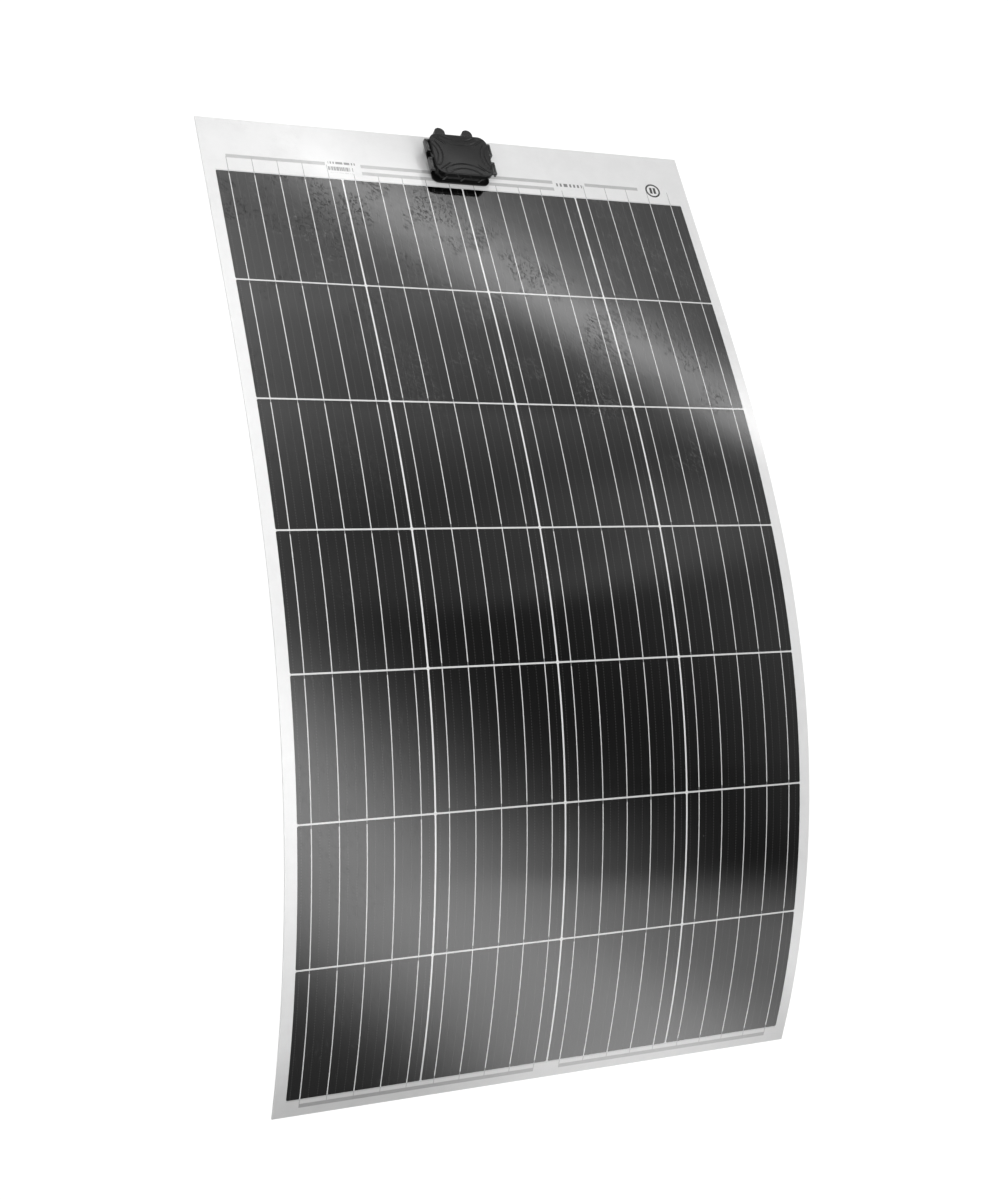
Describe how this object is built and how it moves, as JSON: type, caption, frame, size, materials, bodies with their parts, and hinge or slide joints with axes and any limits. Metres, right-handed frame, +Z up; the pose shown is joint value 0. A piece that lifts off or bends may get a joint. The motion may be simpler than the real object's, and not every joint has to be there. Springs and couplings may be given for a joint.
{
  "type": "flexible solar sheet",
  "caption": "Thin bendable solar laminate with a grid of dark square cells, white borders, front ribbons and a junction box on its top margin.",
  "frame": {"origin": "centre of the bounding box at the level that the two short ends rest on", "axes": "+X across the sheet, +Y along it towards the junction box, +Z up, out of the cell side"},
  "size_m": [0.661, 1.1717, 0.1513],
  "materials": {
    "substrate": "white glass-fibre laminate",
    "encapsulant": "clear, slightly milky",
    "front_film": "clear embossed fluoropolymer",
    "cells": "dark anti-reflection coated silicon",
    "ribbons": "tinned copper",
    "bus_bars": "tinned copper under the film",
    "label_paper": "white printed film",
    "label_print": "dark print",
    "box_plastic": "satin black moulding",
    "adhesive": "foam bonding tape",
    "seal_rubber": "soft black rubber",
    "terminal_brass": "brass",
    "diode_plastic": "black epoxy",
    "screw_steel": "zinc-plated"
  },
  "bodies": {
    "row_1": {"substrate_row_1": "substrate", "rear_encapsulant_row_1": "encapsulant", "cells_row_1": "cells", "ribbons_row_1": "ribbons", "front_encapsulant_row_1": "encapsulant", "front_film_row_1": "front_film", "bus_left_terminal": "bus_bars", "bus_right_terminal": "bus_bars", "bus_centre_tap": "bus_bars", "rating_label": "label_paper", "plain_label": "label_paper", "handling_mark": "label_print", "jbox_adhesive_pad": "adhesive", "cable_seals": "seal_rubber", "terminal_rails": "terminal_brass", "lead_foils": "bus_bars", "bypass_diodes": "diode_plastic", "cable_clamps": "terminal_brass", "clamp_screws": "screw_steel", "jbox_base": "box_plastic", "jbox_gasket": "seal_rubber"},
    "row_2": {"substrate_row_2": "substrate", "rear_encapsulant_row_2": "encapsulant", "cells_row_2": "cells", "ribbons_row_2": "ribbons", "front_encapsulant_row_2": "encapsulant", "front_film_row_2": "front_film"},
    "row_3": {"substrate_row_3": "substrate", "rear_encapsulant_row_3": "encapsulant", "cells_row_3": "cells", "ribbons_row_3": "ribbons", "front_encapsulant_row_3": "encapsulant", "front_film_row_3": "front_film"},
    "row_4": {"substrate_row_4": "substrate", "rear_encapsulant_row_4": "encapsulant", "cells_row_4": "cells", "ribbons_row_4": "ribbons", "front_encapsulant_row_4": "encapsulant", "front_film_row_4": "front_film"},
    "row_5": {"substrate_row_5": "substrate", "rear_encapsulant_row_5": "encapsulant", "cells_row_5": "cells", "ribbons_row_5": "ribbons", "front_encapsulant_row_5": "encapsulant", "front_film_row_5": "front_film"},
    "row_6": {"substrate_row_6": "substrate", "rear_encapsulant_row_6": "encapsulant", "cells_row_6": "cells", "ribbons_row_6": "ribbons", "front_encapsulant_row_6": "encapsulant", "front_film_row_6": "front_film"},
    "row_7": {"substrate_row_7": "substrate", "rear_encapsulant_row_7": "encapsulant", "cells_row_7": "cells", "ribbons_row_7": "ribbons", "front_encapsulant_row_7": "encapsulant", "front_film_row_7": "front_film", "buses_bottom": "bus_bars"},
    "lid": {"jbox_lid": "box_plastic"}
  },
  "joints": [
    {"name": "flex_4_5", "type": "hinge", "parent": "row_4", "child": "row_5", "pos_m": [0, -0.11806, 0.15023], "axis": [1, 0, 0], "range_deg": [-9.75, 3.25], "stiffness_Nm_per_rad": 450},
    {"name": "flex_5_6", "type": "hinge", "parent": "row_5", "child": "row_6", "pos_m": [0, -0.27556, 0.13226], "axis": [1, 0, 0], "range_deg": [-10.51, 3.51], "stiffness_Nm_per_rad": 450},
    {"name": "flex_6_7", "type": "hinge", "parent": "row_6", "child": "row_7", "pos_m": [0, -0.42716, 0.08588], "axis": [1, 0, 0], "range_deg": [-10.51, 3.51], "stiffness_Nm_per_rad": 450},
    {"name": "flex_3_4", "type": "hinge", "parent": "row_4", "child": "row_3", "pos_m": [0, 0.04028, 0.14126], "axis": [-1, 0, 0], "range_deg": [-7.51, 2.51], "stiffness_Nm_per_rad": 450},
    {"name": "flex_2_3", "type": "hinge", "parent": "row_3", "child": "row_2", "pos_m": [0, 0.19617, 0.11169], "axis": [-1, 0, 0], "range_deg": [-4.51, 1.51], "stiffness_Nm_per_rad": 450},
    {"name": "flex_1_2", "type": "hinge", "parent": "row_2", "child": "row_1", "pos_m": [0, 0.34932, 0.06997], "axis": [-1, 0, 0], "range_deg": [-1.51, 0.51], "stiffness_Nm_per_rad": 450},
    {"name": "lid_slide", "type": "slide", "parent": "row_1", "child": "lid", "axis": [0, 0.288, 0.9576], "range_m": [0, 0.03]}
  ],
  "couplings": [
    {"joint": "flex_5_6", "follows": "flex_4_5", "ratio": 1.0769},
    {"joint": "flex_6_7", "follows": "flex_4_5", "ratio": 1.0769},
    {"joint": "flex_3_4", "follows": "flex_4_5", "ratio": 0.76923},
    {"joint": "flex_2_3", "follows": "flex_4_5", "ratio": 0.46154},
    {"joint": "flex_1_2", "follows": "flex_4_5", "ratio": 0.15385}
  ]
}
